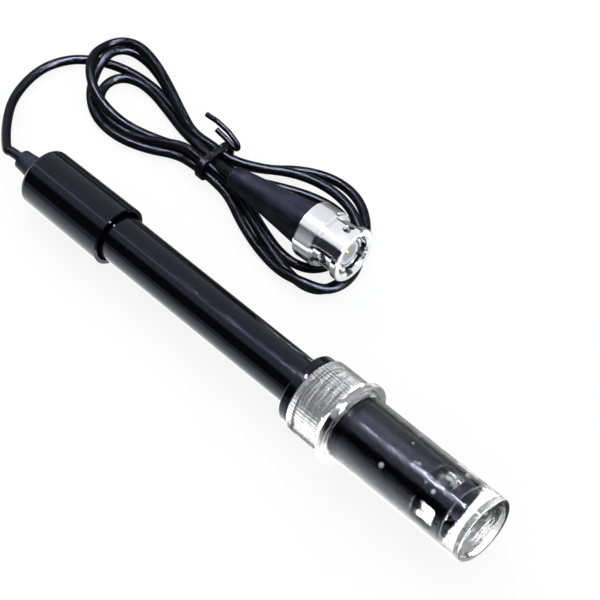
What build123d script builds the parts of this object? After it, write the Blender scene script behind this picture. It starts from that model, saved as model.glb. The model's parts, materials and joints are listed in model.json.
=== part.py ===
from build123d import *
import math
import os

# Body tube, distances taken along the electrode's axis from the top of the upper cap, in millimetres
tube_radius = 6.0
tube_wall = 1.2
tube_end = 136.0
tube_end_chamfer = 0.4
tube_inset = 9.0

# Upper cap
cap_length = 27.0
cap_wall = 1.4
cap_top_wall = 2.5
cap_edge_radius = 1.6
skirt_depth = 6.0
skirt_gap = 0.75
skirt_wall = 0.9

# Cable and its gland, a rubber grommet pressed into the top of the cap
cord_radius = 1.2
cord_fit = 0.05
lead_stub = 0.8
lead_straight = 5.0
tail_straight = 3.5
gland_length = 7.0
gland_end_wall = 1.25
gland_base_wall = 2.0
gland_neck_wall = 1.1
gland_lip_width = 1.1
gland_lip_thickness = 1.2

# Guard windows at the sensing end of the tube
window_count = 4
window_length = 6.5
window_width = 5.2
window_corner = 0.8
window_turn = -10.0
guard_ring_length = 2.2

# Glass electrode and what holds it inside the tube
reference_gap = 1.5
stem_wall = 0.6
bulb_flare = 0.6
bulb_wall = 0.35
bulb_to_tube_end = 2.6
seal_length = 5.0
seal_to_window = 2.4
junction_radius = 0.5
junction_overhang = 0.6
potting_inset = 0.5
potting_above_stem = 4.5
stem_in_potting = 4.0
wire_radius = 0.3
wire_hole_clearance = 0.05
wire_to_bulb = 2.0
reference_wire_gap = 9.9

# Grip ring and screw cap of the storage bottle
running_clearance = 0.05
face_clearance = 0.05
grip_ring_start = 89.0
grip_ring_length = 2.5
grip_ring_wall = 2.8
grip_ring_edge = 0.5
screw_cap_length = 12.25
screw_cap_wall = 0.9
screw_cap_top_wall = 1.35
screw_cap_hole_clearance = 0.15
thread_depth = 0.4
rib_count = 64
rib_height = 0.3
rib_width = 0.45
rib_margin = 0.7
flange_width = 1.45
flange_thickness = 1.7
flange_edge = 0.3
washer_thickness = 0.95
washer_side_clearance = 0.1

# Storage bottle
neck_gap = 0.75
neck_wall = 1.0
shoulder_gap = 0.15
shoulder_chamfer = 0.5
liquid_gap = 1.2
bottle_wall = 1.1
bottle_edge_radius = 0.7
tip_space = 4.95
bottle_floor = 1.0
recess_depth = 1.0
foot_width = 1.7
recess_taper = 0.3

# Boot and crimp of the plug, distances taken along its axis from the narrow end of the boot
plug_place = (-35.05, 31.65)
plug_yaw_deg = 3.5
plug_rise_deg = 2.4
plug_to_hank = 0.4
boot_length = 24.8
boot_tuck = 1.2
boot_start_wall = 1.35
boot_end_radius = 5.75
boot_edge = 0.4
boot_gap = 0.45
core_radius = 0.75
core_start = 8.0
core_clearance = 0.55
crimp_stem_wall = 0.6
crimp_stem_length = 9.0
ferrule_wall = 0.45
ferrule_length = 8.5

# Coupling sleeve, distances taken from its rear face
knurl_start = 0.4
knurl_length = 4.7
knurl_wall = 1.05
knurl_depth = 0.25
knurl_count = 84
collar_length = 0.9
collar_step = 0.8
sleeve_neck_length = 5.5
sleeve_neck_wall = 1.1
sleeve_bore = 4.95
lip_length = 1.6
lip_step = 0.9
lip_edge = 0.25
mouth_flare = 0.4
web_length = 1.3
channel_depth = 0.8
channel_width = 2.2
cam_groove_radius = 1.1
cam_groove_steps = 9
cam_turn_deg = 98.0
cam_entry_radius = 1.45
cam_entry_margin = 0.1
cam_latch_radius = 1.3
cam_latch_margin = 1.1
cam_relief_radius = 0.75
cam_relief_setback = 1.3
cam_relief_turn_deg = 20.0
sleeve_turn_deg = -18.0

# Plug body and its small pieces, distances taken from the rear face of the sleeve
shank_gap = 0.2
shank_radius = 4.2
shank_floor = 1.6
float_space = 0.5
shoulder_length = 1.25
shoulder_clearance = 0.1
barrel_radius = 4.05
barrel_wall = 0.6
barrel_setback = 1.3
finger_slots = 4
finger_slot_width = 0.5
finger_slot_length = 4.0
snap_ring_setback = 0.7
snap_ring_thickness = 0.55
snap_ring_width = 1.1
snap_ring_gap_deg = 40.0
thrust_washer_thickness = 0.4
thrust_washer_clearance = 0.15
gasket_length = 0.8
gasket_clearance = 0.2
insulator_base_length = 1.8
insulator_step = 0.3
insulator_setback = 1.5
insulator_recess_radius = 2.35
insulator_recess_depth = 1.6
pin_radius = 0.675
pin_setback = 1.8
pin_start = 0.6
pin_tip = 0.35

# Hank of the cable, places in plan about the tie
tie_place = (-44.6, 34.3)
hank_lift = 0.9
hank_neck_length = 14.0
hank_neck_width = 9.8
hank_neck_height = 4.6
hank_neck_corner = 1.9
lobe_root_offset = 6.0
left_lobe_place = (-35.0, 0.3)
left_lobe_radius = 13.3
left_lobe_height = 5.2
left_hole_place = (-31.0, -0.8)
left_hole_radius = 4.4
left_hole_root = (-18.0, -0.5)
left_hole_root_radius = 1.2
right_lobe_place = (33.0, 2.3)
right_lobe_radius = 16.4
right_lobe_height = 2.45
right_hole_place = (32.0, 0.1)
right_hole_radius = 8.6
right_hole_root = (14.0, 1.0)
right_hole_root_radius = 2.6

# Twist tie, with its tails given as steps from the side of the band
tie_width = 1.8
tie_thickness = 0.8
tie_clearance = 0.05
tie_tail_radius = 0.65
tie_tail_root = (0.7, 0.05, 4.3)
tie_tail_long = [(2.0, -0.1, 0.2), (1.4, -0.1, 2.6), (-1.6, 0.0, 4.2), (-5.4, -0.1, 5.0), (-9.0, -0.2, 4.7)]
tie_tail_short = [(2.0, -0.1, 0.2), (1.2, -1.3, 2.2), (-1.2, -1.5, 3.5), (-4.3, -1.4, 3.9)]

# Radii that follow from the tube and the cable
tube_bore = tube_radius - tube_wall
stem_radius = tube_bore - reference_gap
bulb_radius = stem_radius + bulb_flare
reference_radius = (stem_radius + tube_bore) / 2
cap_top_radius = tube_radius + cap_wall
skirt_bore = tube_radius + skirt_gap
cap_rim_radius = skirt_bore + skirt_wall
cord_bore = cord_radius + cord_fit
gland_end_radius = cord_radius + gland_end_wall
gland_base_radius = cord_radius + gland_base_wall
gland_neck_radius = cord_radius + gland_neck_wall
grip_bore = tube_radius + running_clearance
grip_ring_radius = tube_radius + grip_ring_wall
neck_bore = tube_radius + neck_gap
neck_radius = neck_bore + neck_wall
screw_cap_bore = neck_radius + thread_depth
screw_cap_radius = screw_cap_bore + screw_cap_wall
flange_radius = screw_cap_radius + flange_width
bottle_bore = tube_radius + liquid_gap
bottle_radius = bottle_bore + bottle_wall
recess_radius = bottle_radius - foot_width

# Places along the electrode's axis
gland_end = -gland_length
gland_lip_end = cap_top_wall + gland_lip_thickness
lead_end = gland_lip_end + lead_stub
cap_bore_end = cap_length - skirt_depth
potting_start = tube_inset + potting_inset
stem_start = potting_start + potting_above_stem
potting_end = stem_start + stem_in_potting
window_end = tube_end - guard_ring_length
window_start = window_end - window_length
seal_end = window_start - seal_to_window
seal_start = seal_end - seal_length
bulb_centre = tube_end - bulb_to_tube_end - bulb_radius
grip_ring_end = grip_ring_start + grip_ring_length
screw_cap_start = grip_ring_end + face_clearance
screw_cap_end = screw_cap_start + screw_cap_length
flange_start = screw_cap_end - flange_thickness
washer_start = screw_cap_start + screw_cap_top_wall + face_clearance
washer_end = washer_start + washer_thickness
bottle_rim = washer_end + face_clearance
bottle_shoulder = screw_cap_end + shoulder_gap
inner_floor = tube_end + tip_space
recess_floor = inner_floor + bottle_floor
bottle_end = recess_floor + recess_depth

# The electrode lies on the cap's rounded top edge and on the screw cap's flange, so its axis rises a little
cap_draft = (cap_rim_radius - cap_top_radius) / cap_length
cap_contact = (cap_edge_radius, cap_top_radius - cap_edge_radius * (1 - cap_draft))
flange_contact = (flange_start + flange_edge, flange_radius - flange_edge)
contact_run = flange_contact[0] - cap_contact[0]
contact_rise = flange_contact[1] - cap_contact[1]
contact_span = math.hypot(contact_run, contact_rise)
rest_tilt = math.atan2(contact_rise, contact_run) + math.asin((flange_edge - cap_edge_radius) / contact_span)
axis_height = cap_edge_radius + cap_contact[1] * math.cos(rest_tilt) - cap_contact[0] * math.sin(rest_tilt)
axis_direction = Vector(math.cos(rest_tilt), 0, math.sin(rest_tilt))
middle_shift = (gland_length - bottle_end) / 2 * math.cos(rest_tilt)
middle_shift += (gland_end_radius - bottle_radius) / 2 * math.sin(rest_tilt)
cap_top_point = Vector(middle_shift, 0, axis_height)
electrode_plane = Plane(origin=cap_top_point, x_dir=axis_direction, z_dir=(0, -1, 0))
electrode_axis = Axis(cap_top_point, axis_direction)

# Radii of the plug
boot_start_radius = cord_radius + boot_start_wall
crimp_stem_bore = core_radius + core_clearance
crimp_stem_radius = crimp_stem_bore + crimp_stem_wall
ferrule_radius = crimp_stem_radius + ferrule_wall
boot_cavity_radius = ferrule_radius + cord_fit
rear_recess_radius = boot_end_radius + boot_gap
knurl_radius = rear_recess_radius + knurl_wall
sleeve_neck_radius = sleeve_bore + sleeve_neck_wall
collar_radius = sleeve_neck_radius + collar_step
lip_radius = sleeve_neck_radius + lip_step
channel_radius = sleeve_bore + channel_depth
web_bore = shank_radius + running_clearance
shoulder_radius = sleeve_bore - shoulder_clearance
barrel_bore = barrel_radius - barrel_wall

# Places along the plug, from the rear face of the sleeve
knurl_end = knurl_start + knurl_length
collar_end = knurl_end + collar_length
lip_start = collar_end + sleeve_neck_length
sleeve_length = lip_start + lip_length
shank_start = boot_tuck + shank_gap
snap_ring_start = shank_start + snap_ring_setback
snap_ring_end = snap_ring_start + snap_ring_thickness
web_start = snap_ring_end + face_clearance
web_end = web_start + web_length
thrust_start = web_end + face_clearance
thrust_end = thrust_start + thrust_washer_thickness
shoulder_start = thrust_end + float_space
shoulder_end = shoulder_start + shoulder_length
bore_start = shank_start + shank_floor
barrel_end = sleeve_length - barrel_setback
insulator_shoulder = shoulder_end + insulator_base_length
insulator_end = sleeve_length - insulator_setback
insulator_recess_floor = insulator_end - insulator_recess_depth
pin_end = sleeve_length - pin_setback

# The plug lies with its lip over the hank and has an axis and planes of its own
plug_yaw = math.radians(plug_yaw_deg)
plug_rise = math.radians(plug_rise_deg)
plug_level = math.cos(plug_rise)
plug_direction = Vector(plug_level * math.cos(plug_yaw), plug_level * math.sin(plug_yaw), math.sin(plug_rise))
plug_side = (math.sin(plug_yaw), -math.cos(plug_yaw), 0)
lip_height = right_lobe_height + plug_to_hank + lip_radius
lip_distance = boot_length + sleeve_length - lip_length / 2
plug_origin = Vector(*plug_place, lip_height - lip_distance * math.sin(plug_rise))
sleeve_origin = plug_origin + plug_direction * boot_length
boot_plane = Plane(origin=plug_origin, x_dir=plug_direction, z_dir=plug_side)
sleeve_plane = Plane(origin=sleeve_origin, x_dir=plug_direction, z_dir=plug_side)
plug_axis = Axis(plug_origin, plug_direction)


def outline(plane, points):
    """A flat face on a plane, bounded by straight lines through the points (distance, radius)."""
    with BuildSketch(plane) as drawn:
        with BuildLine():
            Polyline(*points, close=True)
        make_face()
    return drawn.sketch


def ring_outline(plane, start, end, inner, outer):
    """The half section of a plain ring or disc."""
    return outline(plane, [(start, inner), (start, outer), (end, outer), (end, inner)])


def radial(plane, turn_deg):
    """The unit direction that points away from the plane's x axis at a turn about it."""
    turn = math.radians(turn_deg)
    return plane.y_dir * math.cos(turn) + plane.z_dir * math.sin(turn)


def along(plane, distance, radius=0.0):
    """A point at a distance along a plane's x axis and at a radius above it."""
    return plane.origin + plane.x_dir * distance + plane.y_dir * radius


def facing(plane, distance, turn_deg):
    """A plane on the axis whose normal points outward at a turn, for features cut through a wall."""
    return Plane(origin=along(plane, distance), x_dir=plane.x_dir, z_dir=radial(plane, turn_deg))


def across(plane, distance, turn_deg=0.0):
    """A plane square to the axis at a distance, for outlines that run along the axis."""
    return Plane(origin=along(plane, distance), x_dir=radial(plane, turn_deg), z_dir=plane.x_dir)


def round_edges(builder, axis, place):
    """The circular edges in one group along an axis, the largest radius last."""
    circles = builder.edges().filter_by(GeomType.CIRCLE)
    return circles.group_by(axis)[place].sort_by(SortBy.RADIUS)


def bend_radii(points):
    """The arc at each corner of a route: 0.45 of the shorter run over the tangent of half the turn."""
    radii = []
    for before, here, after in zip(points, points[1:], points[2:]):
        run_in = here - before
        run_out = after - here
        half_turn = math.radians(run_in.get_angle(run_out)) / 2
        radii.append(0.45 * min(run_in.length, run_out.length) / math.tan(half_turn))
    return radii


def report_route(name, points, solid):
    """Print the radii of a route, and its volume beside its section times its length."""
    radii = bend_radii(points)
    path = FilletPolyline(*points, radius=radii, mode=Mode.PRIVATE)
    plain_volume = math.pi * cord_radius**2 * path.length
    print(name, "radii in diameters", [round(r / cord_radius / 2, 1) for r in radii])
    print(name, "length", round(path.length, 1), "volume ratio", round(solid.volume / plain_volume, 4))


os.makedirs("parts", exist_ok=True)

# Upper cap, a sleeve over the tube with a skirt that stands clear of it at the lower end
with BuildPart() as upper_cap:
    cap_section = [
        (0, gland_neck_radius),
        (0, cap_top_radius),
        (cap_length, cap_rim_radius),
        (cap_length, skirt_bore),
        (cap_bore_end, skirt_bore),
        (cap_bore_end, tube_radius),
        (cap_top_wall, tube_radius),
        (cap_top_wall, gland_neck_radius),
    ]
    revolve(outline(electrode_plane, cap_section), axis=electrode_axis)
    fillet(round_edges(upper_cap, electrode_axis, 0)[-1], cap_edge_radius)

# Cable gland with its neck in the cap's top wall and a lip behind it
with BuildPart() as cable_gland:
    gland_lip_radius = gland_neck_radius + gland_lip_width
    gland_section = [
        (gland_end, cord_bore),
        (gland_end, gland_end_radius),
        (0, gland_base_radius),
        (0, gland_neck_radius),
        (cap_top_wall, gland_neck_radius),
        (cap_top_wall, gland_lip_radius),
        (gland_lip_end, gland_lip_radius),
        (gland_lip_end, cord_bore),
    ]
    revolve(outline(electrode_plane, gland_section), axis=electrode_axis)

# Body tube with the guard windows at its sensing end
with BuildPart() as body_tube:
    tube_section = ring_outline(electrode_plane, tube_inset, tube_end, tube_bore, tube_radius)
    revolve(tube_section, axis=electrode_axis)
    chamfer(round_edges(body_tube, electrode_axis, -1)[-1], tube_end_chamfer)
    window_middle = (window_start + window_end) / 2
    for number in range(window_count):
        window_angle = window_turn + number * 360 / window_count
        with BuildSketch(facing(electrode_plane, window_middle, window_angle)):
            RectangleRounded(window_length, window_width, window_corner)
        extrude(amount=tube_radius + tube_wall, mode=Mode.SUBTRACT)

# Glass electrode, one blown piece: a stem that ends in the thin sensing bulb
with BuildPart() as glass_electrode:
    stem_length = bulb_centre - stem_start
    stem_middle = (stem_start + bulb_centre) / 2
    with BuildSketch(electrode_plane):
        with Locations((stem_middle, 0)):
            Rectangle(stem_length, 2 * stem_radius)
        with Locations((bulb_centre, 0)):
            Circle(bulb_radius)
        with Locations((stem_middle, 0)):
            Rectangle(stem_length, 2 * (stem_radius - stem_wall), mode=Mode.SUBTRACT)
        with Locations((bulb_centre, 0)):
            Circle(bulb_radius - bulb_wall, mode=Mode.SUBTRACT)
        with Locations((stem_middle, bulb_radius)):
            Rectangle(2 * stem_length, 2 * bulb_radius, mode=Mode.INTERSECT)
    revolve(axis=electrode_axis)

# Seal between stem and tube, with a hole for the porous junction
with BuildPart() as stem_seal:
    revolve(ring_outline(electrode_plane, seal_start, seal_end, stem_radius, tube_bore), axis=electrode_axis)
    with BuildSketch(across(electrode_plane, seal_start)):
        with Locations((reference_radius, 0)):
            Circle(junction_radius)
    extrude(amount=seal_length, mode=Mode.SUBTRACT)

with BuildPart() as reference_junction:
    with BuildSketch(across(electrode_plane, seal_start - junction_overhang)):
        with Locations((reference_radius, 0)):
            Circle(junction_radius)
    extrude(amount=seal_length + 2 * junction_overhang)

# Potting that closes the tube, holds the stem and lets the two wires through
with BuildPart() as top_potting:
    potting_section = [
        (potting_start, 0),
        (potting_start, tube_bore),
        (potting_end, tube_bore),
        (potting_end, stem_radius),
        (stem_start, stem_radius),
        (stem_start, 0),
    ]
    revolve(outline(electrode_plane, potting_section), axis=electrode_axis)
    with BuildSketch(across(electrode_plane, potting_start)):
        with Locations((0, 0), (reference_radius, 0)):
            Circle(wire_radius + wire_hole_clearance)
    extrude(amount=potting_end - potting_start, mode=Mode.SUBTRACT)

# Silver wires: one down the glass stem to the bulb, one beside it in the reference space
with BuildPart() as silver_wire:
    with BuildSketch(across(electrode_plane, lead_end)):
        Circle(wire_radius)
    extrude(amount=bulb_centre - wire_to_bulb - lead_end)

with BuildPart() as reference_wire:
    wire_offset = cord_radius - wire_radius
    wire_bend = 2 * wire_radius
    wire_route = [
        along(electrode_plane, lead_end, wire_offset),
        along(electrode_plane, lead_end + wire_bend, wire_offset),
        along(electrode_plane, potting_start - wire_bend, reference_radius),
        along(electrode_plane, seal_start - reference_wire_gap, reference_radius),
    ]
    with BuildLine():
        FilletPolyline(*wire_route, radius=wire_bend)
    with BuildSketch(across(electrode_plane, lead_end)):
        with Locations((wire_offset, 0)):
            Circle(wire_radius)
    sweep()

# Grip ring that stops the screw cap on the tube
with BuildPart() as grip_ring:
    grip_section = ring_outline(electrode_plane, grip_ring_start, grip_ring_end, grip_bore, grip_ring_radius)
    revolve(grip_section, axis=electrode_axis)
    fillet(grip_ring.edges().filter_by(GeomType.CIRCLE).group_by(SortBy.RADIUS)[-1], grip_ring_edge)

with BuildPart() as sealing_washer:
    washer_radius = screw_cap_bore - washer_side_clearance
    washer_section = ring_outline(electrode_plane, washer_start, washer_end, grip_bore, washer_radius)
    revolve(washer_section, axis=electrode_axis)

# Clear screw cap: a ribbed skirt with a flange at its open end
with BuildPart() as bottle_cap:
    cap_hole = tube_radius + screw_cap_hole_clearance
    cap_inner_top = screw_cap_start + screw_cap_top_wall
    screw_cap_section = [
        (screw_cap_start, cap_hole),
        (screw_cap_start, screw_cap_radius),
        (flange_start, screw_cap_radius),
        (flange_start, flange_radius),
        (screw_cap_end, flange_radius),
        (screw_cap_end, screw_cap_bore),
        (cap_inner_top, screw_cap_bore),
        (cap_inner_top, cap_hole),
    ]
    revolve(outline(electrode_plane, screw_cap_section), axis=electrode_axis)
    fillet(bottle_cap.edges().filter_by(GeomType.CIRCLE).group_by(SortBy.RADIUS)[-1], flange_edge)
    rib_start = screw_cap_start + rib_margin
    groove_width = 2 * math.pi * screw_cap_radius / rib_count - rib_width
    with BuildSketch(across(electrode_plane, rib_start)):
        Circle(screw_cap_radius + rib_height)
        Circle(screw_cap_radius, mode=Mode.SUBTRACT)
        with PolarLocations(screw_cap_radius, rib_count):
            Rectangle(4 * rib_height, groove_width, mode=Mode.SUBTRACT)
    extrude(amount=flange_start - rib_start)

# Storage bottle with its neck inside the screw cap and a recess under its floor
with BuildPart() as storage_bottle:
    bore_step = bottle_shoulder + bottle_wall
    bottle_section = [
        (bottle_rim, neck_bore),
        (bottle_rim, neck_radius),
        (bottle_shoulder, neck_radius),
        (bottle_shoulder, bottle_radius - shoulder_chamfer),
        (bottle_shoulder + shoulder_chamfer, bottle_radius),
        (bottle_end, bottle_radius),
        (bottle_end, recess_radius),
        (recess_floor, recess_radius - recess_taper),
        (recess_floor, 0),
        (inner_floor, 0),
        (inner_floor, bottle_bore),
        (bore_step + bottle_bore - neck_bore, bottle_bore),
        (bore_step, neck_bore),
    ]
    revolve(outline(electrode_plane, bottle_section), axis=electrode_axis)
    fillet(round_edges(storage_bottle, electrode_axis, -1)[-1], bottle_edge_radius)

# Boot of the plug, moulded over the crimp
ferrule_start = boot_length - crimp_stem_length
with BuildPart() as plug_boot:
    boot_section = [
        (0, cord_bore),
        (0, boot_start_radius),
        (boot_length, boot_end_radius),
        (boot_length + boot_tuck, boot_end_radius),
        (boot_length + boot_tuck, boot_cavity_radius),
        (ferrule_start, boot_cavity_radius),
        (ferrule_start, cord_bore),
    ]
    revolve(outline(boot_plane, boot_section), axis=plug_axis)
    fillet(round_edges(plug_boot, plug_axis, 0)[-1], boot_edge)

with BuildPart() as crimp_ferrule:
    ferrule_end = ferrule_start + ferrule_length
    ferrule_section = ring_outline(boot_plane, ferrule_start, ferrule_end, crimp_stem_radius, ferrule_radius)
    revolve(ferrule_section, axis=plug_axis)

with BuildPart() as cable_core:
    with BuildSketch(across(boot_plane, core_start)):
        Circle(core_radius)
    extrude(amount=boot_length + pin_start - core_start)

# Plug body: crimp stem, shank, shoulder and the slotted contact barrel
with BuildPart() as plug_body:
    body_section = [
        (-crimp_stem_length, crimp_stem_bore),
        (-crimp_stem_length, crimp_stem_radius),
        (shank_start, crimp_stem_radius),
        (shank_start, shank_radius),
        (shoulder_start, shank_radius),
        (shoulder_start, shoulder_radius),
        (shoulder_end, shoulder_radius),
        (shoulder_end, barrel_radius),
        (barrel_end, barrel_radius),
        (barrel_end, barrel_bore),
        (bore_start, barrel_bore),
        (bore_start, crimp_stem_bore),
    ]
    revolve(outline(sleeve_plane, body_section), axis=plug_axis)
    for number in range(finger_slots // 2):
        slot_angle = (number + 0.5) * 360 / finger_slots
        with BuildSketch(facing(sleeve_plane, barrel_end, slot_angle)):
            Rectangle(2 * finger_slot_length, finger_slot_width)
        extrude(amount=2 * barrel_radius, both=True, mode=Mode.SUBTRACT)

with BuildPart() as plug_gasket:
    gasket_end = shoulder_end + gasket_length
    gasket_radius = sleeve_bore - gasket_clearance
    gasket_section = ring_outline(sleeve_plane, shoulder_end, gasket_end, barrel_radius, gasket_radius)
    revolve(gasket_section, axis=plug_axis)

# Snap ring on the shank, open over a small angle
with BuildPart() as snap_ring:
    snap_ring_radius = shank_radius + snap_ring_width
    snap_section = ring_outline(sleeve_plane, snap_ring_start, snap_ring_end, shank_radius, snap_ring_radius)
    revolve(snap_section, axis=plug_axis)
    half_gap = math.radians(snap_ring_gap_deg / 2)
    gap_reach = 2 * snap_ring_radius * math.cos(half_gap)
    gap_half_width = 2 * snap_ring_radius * math.sin(half_gap)
    with BuildSketch(across(sleeve_plane, snap_ring_start)):
        with BuildLine():
            Polyline((0, 0), (gap_reach, gap_half_width), (gap_reach, -gap_half_width), close=True)
        make_face()
    extrude(amount=snap_ring_thickness, mode=Mode.SUBTRACT)

with BuildPart() as thrust_washer:
    thrust_radius = sleeve_bore - thrust_washer_clearance
    revolve(ring_outline(sleeve_plane, thrust_start, thrust_end, web_bore, thrust_radius), axis=plug_axis)

# White insulator, stepped down in front, with a recess round the contact pin
with BuildPart() as plug_insulator:
    insulator_front_radius = barrel_bore - insulator_step
    insulator_section = [
        (bore_start, pin_radius),
        (bore_start, barrel_bore),
        (insulator_shoulder, barrel_bore),
        (insulator_shoulder, insulator_front_radius),
        (insulator_end, insulator_front_radius),
        (insulator_end, insulator_recess_radius),
        (insulator_recess_floor, insulator_recess_radius),
        (insulator_recess_floor, pin_radius),
    ]
    revolve(outline(sleeve_plane, insulator_section), axis=plug_axis)

with BuildPart() as plug_pin:
    with BuildSketch(across(sleeve_plane, pin_start)):
        Circle(pin_radius)
    extrude(amount=pin_end - pin_start)
    chamfer(round_edges(plug_pin, plug_axis, -1)[-1], pin_tip)

# Coupling sleeve: knurled band, collar, neck with two cam slots and a lip, with its web inside
with BuildPart() as coupling_sleeve:
    knurl_root = knurl_radius - knurl_depth
    sleeve_section = [
        (0, rear_recess_radius),
        (0, knurl_root),
        (knurl_end, knurl_root),
        (knurl_end, collar_radius),
        (collar_end, collar_radius),
        (collar_end, sleeve_neck_radius),
        (lip_start, sleeve_neck_radius),
        (lip_start, lip_radius),
        (sleeve_length, lip_radius),
        (sleeve_length, sleeve_bore + mouth_flare),
        (sleeve_length - mouth_flare, sleeve_bore),
        (web_end, sleeve_bore),
        (web_end, web_bore),
        (web_start, web_bore),
        (web_start, rear_recess_radius),
    ]
    revolve(outline(sleeve_plane, sleeve_section), axis=plug_axis)
    circles = coupling_sleeve.edges().filter_by(GeomType.CIRCLE)
    chamfer(circles.group_by(plug_axis)[-1].sort_by(SortBy.RADIUS)[-1], lip_edge)
    with BuildSketch(across(sleeve_plane, knurl_start)):
        Circle(knurl_radius)
        Circle(knurl_root, mode=Mode.SUBTRACT)
        with PolarLocations(knurl_radius, knurl_count):
            Rectangle(4 * knurl_depth, math.pi * knurl_radius / knurl_count, mode=Mode.SUBTRACT)
    extrude(amount=knurl_length)
    cam_entry = lip_start - cam_entry_margin - cam_entry_radius
    cam_latch = collar_end + cam_latch_margin + cam_latch_radius
    cam_relief = cam_latch - cam_relief_setback
    for half_turn in (0, 180):
        channel_turn = sleeve_turn_deg + half_turn
        with BuildSketch(across(sleeve_plane, cam_entry, channel_turn)):
            with Locations((channel_radius / 2, 0)):
                Rectangle(channel_radius, channel_width)
        extrude(amount=sleeve_length - cam_entry, mode=Mode.SUBTRACT)
        for step in range(1, cam_groove_steps):
            share = step / cam_groove_steps
            cut_place = cam_entry + (cam_latch - cam_entry) * share
            with BuildSketch(facing(sleeve_plane, cut_place, channel_turn + cam_turn_deg * share)):
                Circle(cam_groove_radius)
            extrude(amount=channel_radius, mode=Mode.SUBTRACT)
        latch_turn = channel_turn + cam_turn_deg
        for hole_place, hole_turn, hole_radius in (
            (cam_entry, channel_turn, cam_entry_radius),
            (cam_latch, latch_turn, cam_latch_radius),
            (cam_relief, latch_turn + cam_relief_turn_deg, cam_relief_radius),
        ):
            with BuildSketch(facing(sleeve_plane, hole_place, hole_turn)):
                Circle(hole_radius)
            extrude(amount=2 * sleeve_neck_radius, mode=Mode.SUBTRACT)

# Free cable between the gland and the hank, with its inner end in the cap
lead_points = [
    along(electrode_plane, lead_end),
    along(electrode_plane, gland_end - lead_straight),
    Vector(-88.0, 7.4, 4.4),
    Vector(-95.2, 15.6, cord_radius),
    Vector(-97.6, 25.4, cord_radius),
    Vector(-95.0, 32.4, cord_radius),
    Vector(-90.6, 36.4, cord_radius),
]
with BuildPart() as cable_lead:
    with BuildLine():
        FilletPolyline(*lead_points, radius=bend_radii(lead_points))
    with BuildSketch(Plane(origin=lead_points[0], z_dir=lead_points[1] - lead_points[0])):
        Circle(cord_radius)
    sweep()

# Short end of the cable between the hank and the boot
tail_points = [
    Vector(-42.9, 33.7, 4.3),
    along(boot_plane, -tail_straight),
    along(boot_plane, core_start),
]
with BuildPart() as cable_tail:
    with BuildLine():
        FilletPolyline(*tail_points, radius=bend_radii(tail_points))
    with BuildSketch(Plane(origin=tail_points[0], z_dir=tail_points[1] - tail_points[0])):
        Circle(cord_radius)
    sweep()

# Tied hank: a narrow neck through the tie and a looped lobe on each side of it
tie_plane = Plane(origin=(*tie_place, 0))
neck_middle = (*tie_place, hank_lift + hank_neck_height / 2)
neck_plane = Plane(origin=neck_middle, x_dir=(0, 1, 0), z_dir=(1, 0, 0))


def lobe(place, radius, root, root_radius, height):
    """A flat pear-shaped block, from a small round near the tie to a large round at the far end."""
    with BuildPart() as block:
        with BuildSketch(tie_plane):
            with Locations(place):
                Circle(radius)
            with Locations(root):
                Circle(root_radius)
            make_hull()
        extrude(amount=height)
    return block.part


with BuildPart() as cable_hank:
    root_radius = hank_neck_width / 2
    add(lobe(left_lobe_place, left_lobe_radius, (-lobe_root_offset, 0), root_radius, left_lobe_height))
    add(lobe(right_lobe_place, right_lobe_radius, (lobe_root_offset, 0), root_radius, right_lobe_height))
    left_hole = (left_hole_place, left_hole_radius, left_hole_root, left_hole_root_radius)
    right_hole = (right_hole_place, right_hole_radius, right_hole_root, right_hole_root_radius)
    add(lobe(*left_hole, left_lobe_height), mode=Mode.SUBTRACT)
    add(lobe(*right_hole, right_lobe_height), mode=Mode.SUBTRACT)
    with BuildSketch(neck_plane):
        RectangleRounded(hank_neck_width, hank_neck_height, hank_neck_corner)
    extrude(amount=hank_neck_length / 2, both=True)

# Twist tie: a band round the neck of the hank and its two twisted tails
with BuildPart() as cable_tie:
    with BuildSketch(neck_plane):
        for space, mode in ((tie_clearance + tie_thickness, Mode.ADD), (tie_clearance, Mode.SUBTRACT)):
            band_width = hank_neck_width + 2 * space
            band_height = hank_neck_height + 2 * space
            RectangleRounded(band_width, band_height, hank_neck_corner + space, mode=mode)
    extrude(amount=tie_width / 2, both=True)
    band_reach = hank_neck_width / 2 + tie_clearance + tie_thickness
    band_side = Vector(*tie_place, 0) + Vector(0, band_reach, 0)
    tail_root = band_side + Vector(*tie_tail_root)
    for tail_steps in (tie_tail_long, tie_tail_short):
        tail_route = [tail_root]
        for step in tail_steps:
            tail_route.append(tail_root + Vector(*step))
        with BuildLine() as tail_line:
            FilletPolyline(*tail_route, radius=2 * tie_tail_radius)
        with BuildSketch(Plane(origin=tail_root, z_dir=tail_route[1] - tail_root)):
            Circle(tie_tail_radius)
        sweep(path=tail_line.line)

report_route("lead", lead_points, cable_lead.part)
report_route("tail", tail_points, cable_tail.part)

for name, piece in (
    ("upper_cap", upper_cap),
    ("cable_gland", cable_gland),
    ("body_tube", body_tube),
    ("glass_electrode", glass_electrode),
    ("stem_seal", stem_seal),
    ("reference_junction", reference_junction),
    ("top_potting", top_potting),
    ("silver_wire", silver_wire),
    ("reference_wire", reference_wire),
    ("grip_ring", grip_ring),
    ("sealing_washer", sealing_washer),
    ("bottle_cap", bottle_cap),
    ("storage_bottle", storage_bottle),
    ("plug_boot", plug_boot),
    ("crimp_ferrule", crimp_ferrule),
    ("cable_core", cable_core),
    ("plug_body", plug_body),
    ("plug_gasket", plug_gasket),
    ("snap_ring", snap_ring),
    ("thrust_washer", thrust_washer),
    ("plug_insulator", plug_insulator),
    ("plug_pin", plug_pin),
    ("coupling_sleeve", coupling_sleeve),
    ("cable_lead", cable_lead),
    ("cable_tail", cable_tail),
    ("cable_hank", cable_hank),
    ("cable_tie", cable_tie),
):
    piece.part.label = name
    export_step(piece.part, f"parts/{name}.step")
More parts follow.
